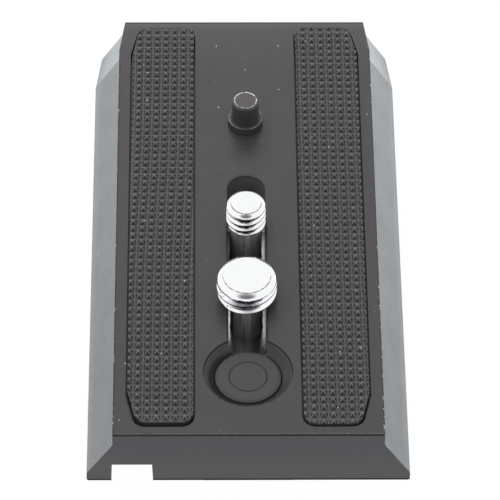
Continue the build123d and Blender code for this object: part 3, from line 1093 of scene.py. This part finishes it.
def spring_surface(low, high, centre_y):
    """Tube along a conical helix: at each step a circle of wire lies across the helix's direction, and the
    first and last circles close on their centres."""
    wide = high.x - WIRE_RADIUS
    share = np.linspace(0, 1, WIRE_STEPS)
    angle = share * SPRING_TURNS * 2 * math.pi
    radius = wide + (SPRING_NARROW - wide) * share
    height = low.z + WIRE_RADIUS + (high.z - low.z - 2 * WIRE_RADIUS) * share
    path = np.stack([radius * np.cos(angle), centre_y + radius * np.sin(angle), height], axis=1)
    forward = np.gradient(path, axis=0)
    forward /= np.linalg.norm(forward, axis=1, keepdims=True)
    side = np.stack([np.cos(angle), np.sin(angle), np.zeros_like(angle)], axis=1)
    side -= forward * np.sum(side * forward, axis=1, keepdims=True)
    side /= np.linalg.norm(side, axis=1, keepdims=True)
    up = np.cross(forward, side)
    round_angle = np.linspace(0, 2 * math.pi, WIRE_SIDES + 1)
    circle = (side[:, None] * np.cos(round_angle)[None, :, None]
              + up[:, None] * np.sin(round_angle)[None, :, None])
    tube = path[:, None] + WIRE_RADIUS * circle
    start = np.repeat(path[:1, None], WIRE_SIDES + 1, axis=1)
    end = np.repeat(path[-1:, None], WIRE_SIDES + 1, axis=1)
    return np.concatenate([start, tube, end], axis=0)


def spring_steel():
    """Drawn spring wire: bright steel with a soft haze."""
    material, shader, place = start_finish("spring_steel")
    haze = noise(place, 0.6 * MM, 3.0, 0.6)
    set_inputs(shader, {
        "Base Color": blend_colour(haze, grey(0.42), grey(0.55)),
        "Metallic": 1.0,
        "Roughness": fade(haze, 0.3, 0.7, 0.28, 0.40),
    })
    return material


spring_low, spring_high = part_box("video_pin_spring")
pin_low, pin_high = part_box("video_pin")
pin_y = (pin_low.y + pin_high.y) / 2
spring_points = spring_surface(spring_low, spring_high, pin_y)
spring = make_piece("video_pin_spring_wire", spring_points, grid_faces(*spring_points.shape[:2]).tolist(),
                    spring_steel(), "plate", "video_pin_spring")
weld(spring.data)
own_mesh(spring)

# %% [markdown]
# ## Small turned pieces
#
# The CAD model has these pieces in full. They could be modelled again, but they would only look the same,
# so they just get a finish. The video pin and its retainer are blackened steel, rubbed bright where a
# camera's socket slides over the pin's edges, with a painted highlight on the far side of those rings. The
# washers are bright rolled steel, with painted shade left of the neck on the smaller one and a painted
# highlight left of the neck on the larger one. The plug in the keyhole is matt black.


# %% Video pin
PIN_COLLAR_TOP = 12.5 * MM
PIN_TIP_RING = 1.80 * MM
PIN_COLLAR_RING = 2.70 * MM


def pin_black():
    """Blackened steel with a paler tip, rubbed bright in patches round the edge of the tip and, less so, of
    the collar. A painted highlight makes the far side of the rings the brighter one."""
    material, shader, place = start_finish("pin_black")
    x, y, z = axes(place)
    haze = noise(place, 1.2 * MM, 3.0, 0.6)
    dy = calc("SUBTRACT", y, pin_y)
    radius = from_axis(x, dy)
    patch = fade(noise(place, 0.30 * MM, 3.0, 0.7), 0.42, 0.56)
    tip = fade(z, pin_high.z - 0.06 * MM, pin_high.z - 0.02 * MM)
    collar = fade(z, PIN_COLLAR_TOP - 0.20 * MM, PIN_COLLAR_TOP - 0.14 * MM, 0.0, 0.5)
    rubbed = largest(times(tip, band(radius, PIN_TIP_RING, 0.15 * MM)),
                     times(collar, band(radius, PIN_COLLAR_RING, 0.08 * MM)))
    # painted highlight: the rubbed rings are painted brighter towards the far side
    bright = fade(dy, -2.0 * MM, 1.0 * MM, 0.32, 0.95)
    bright = next_node("ShaderNodeCombineColor", {0: bright, 1: bright, 2: bright}).outputs[0]
    black = blend_colour(haze, warm(0.035, 0.13), warm(0.045, 0.13))
    rubbed = times(rubbed, patch)
    set_inputs(shader, {
        "Base Color": painted(black, (tip, warm(0.062, 0.10)), (rubbed, bright)),
        "Roughness": fade(haze, 0.3, 0.7, 0.38, 0.44),
        "IOR": 1.5,
        "Normal": bump(noise(place, 0.15 * MM), 0.006 * MM),
    })
    return material


# %% Washers and plug
WASHER_DIVIDE = -8.5 * MM


def washer_steel():
    """Bright rolled steel with a fine haze. Left of the necks, the washer beyond the dividing line has
    painted shade, and the one before it a painted highlight."""
    material, shader, place = start_finish("washer_steel")
    haze = noise(place, 0.8 * MM, 4.0, 0.7)
    x, y, _ = axes(place)
    beyond = fade(y, WASHER_DIVIDE - 0.5 * MM, WASHER_DIVIDE + 0.5 * MM)
    # painted shade on the smaller washer and a painted highlight on the larger one, left of the necks
    washer_painted_shade = times(fade(x, -1.0 * MM, -2.0 * MM), beyond)
    washer_painted_highlight = times(fade(x, 0.0, -2.0 * MM), calc("SUBTRACT", 1.0, beyond))
    steel = blend_colour(haze, grey(0.48), grey(0.62))
    set_inputs(shader, {
        "Base Color": painted(steel, (washer_painted_highlight, grey(0.95)), (washer_painted_shade, grey(0.10))),
        "Metallic": 1.0,
        "Roughness": fade(haze, 0.3, 0.7, 0.18, 0.28),
    })
    return material


def plug_black():
    """Matt black plug face with a fine grain."""
    material, shader, place = start_finish("plug_black")
    mottle = noise(place, 2.5 * MM, 3.0, 0.6)
    set_inputs(shader, {
        "Base Color": blend_colour(mottle, warm(0.038, 0.08), warm(0.0495, 0.08)),
        "Roughness": fade(mottle, 0.3, 0.7, 0.44, 0.52),
        "IOR": 1.5,
        "Normal": bump(noise(place, 0.2 * MM), 0.012 * MM),
    })
    return material


for finish, node_names in (
    (pin_black(), ("video_pin", "video_pin_retainer")),
    (washer_steel(), ("quarter_inch_washer", "three_eighths_washer")),
    (plug_black(), ("keyhole_plug", "keyhole_plug_pin")),
):
    for node_name in node_names:
        dress(node_name, finish)
    print(finish.name, "on", " and ".join(node_names))

# %% [markdown]
# ## Size and finish
#
# The viewport shows the dressed model's size too, but printed numbers can be read after each run, so its
# box is printed. The dressed model may not be larger than the CAD model.

# %% Sizes and last line
low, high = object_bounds()
print("visual box", [round(value, 5) for value in (*low, *high)])
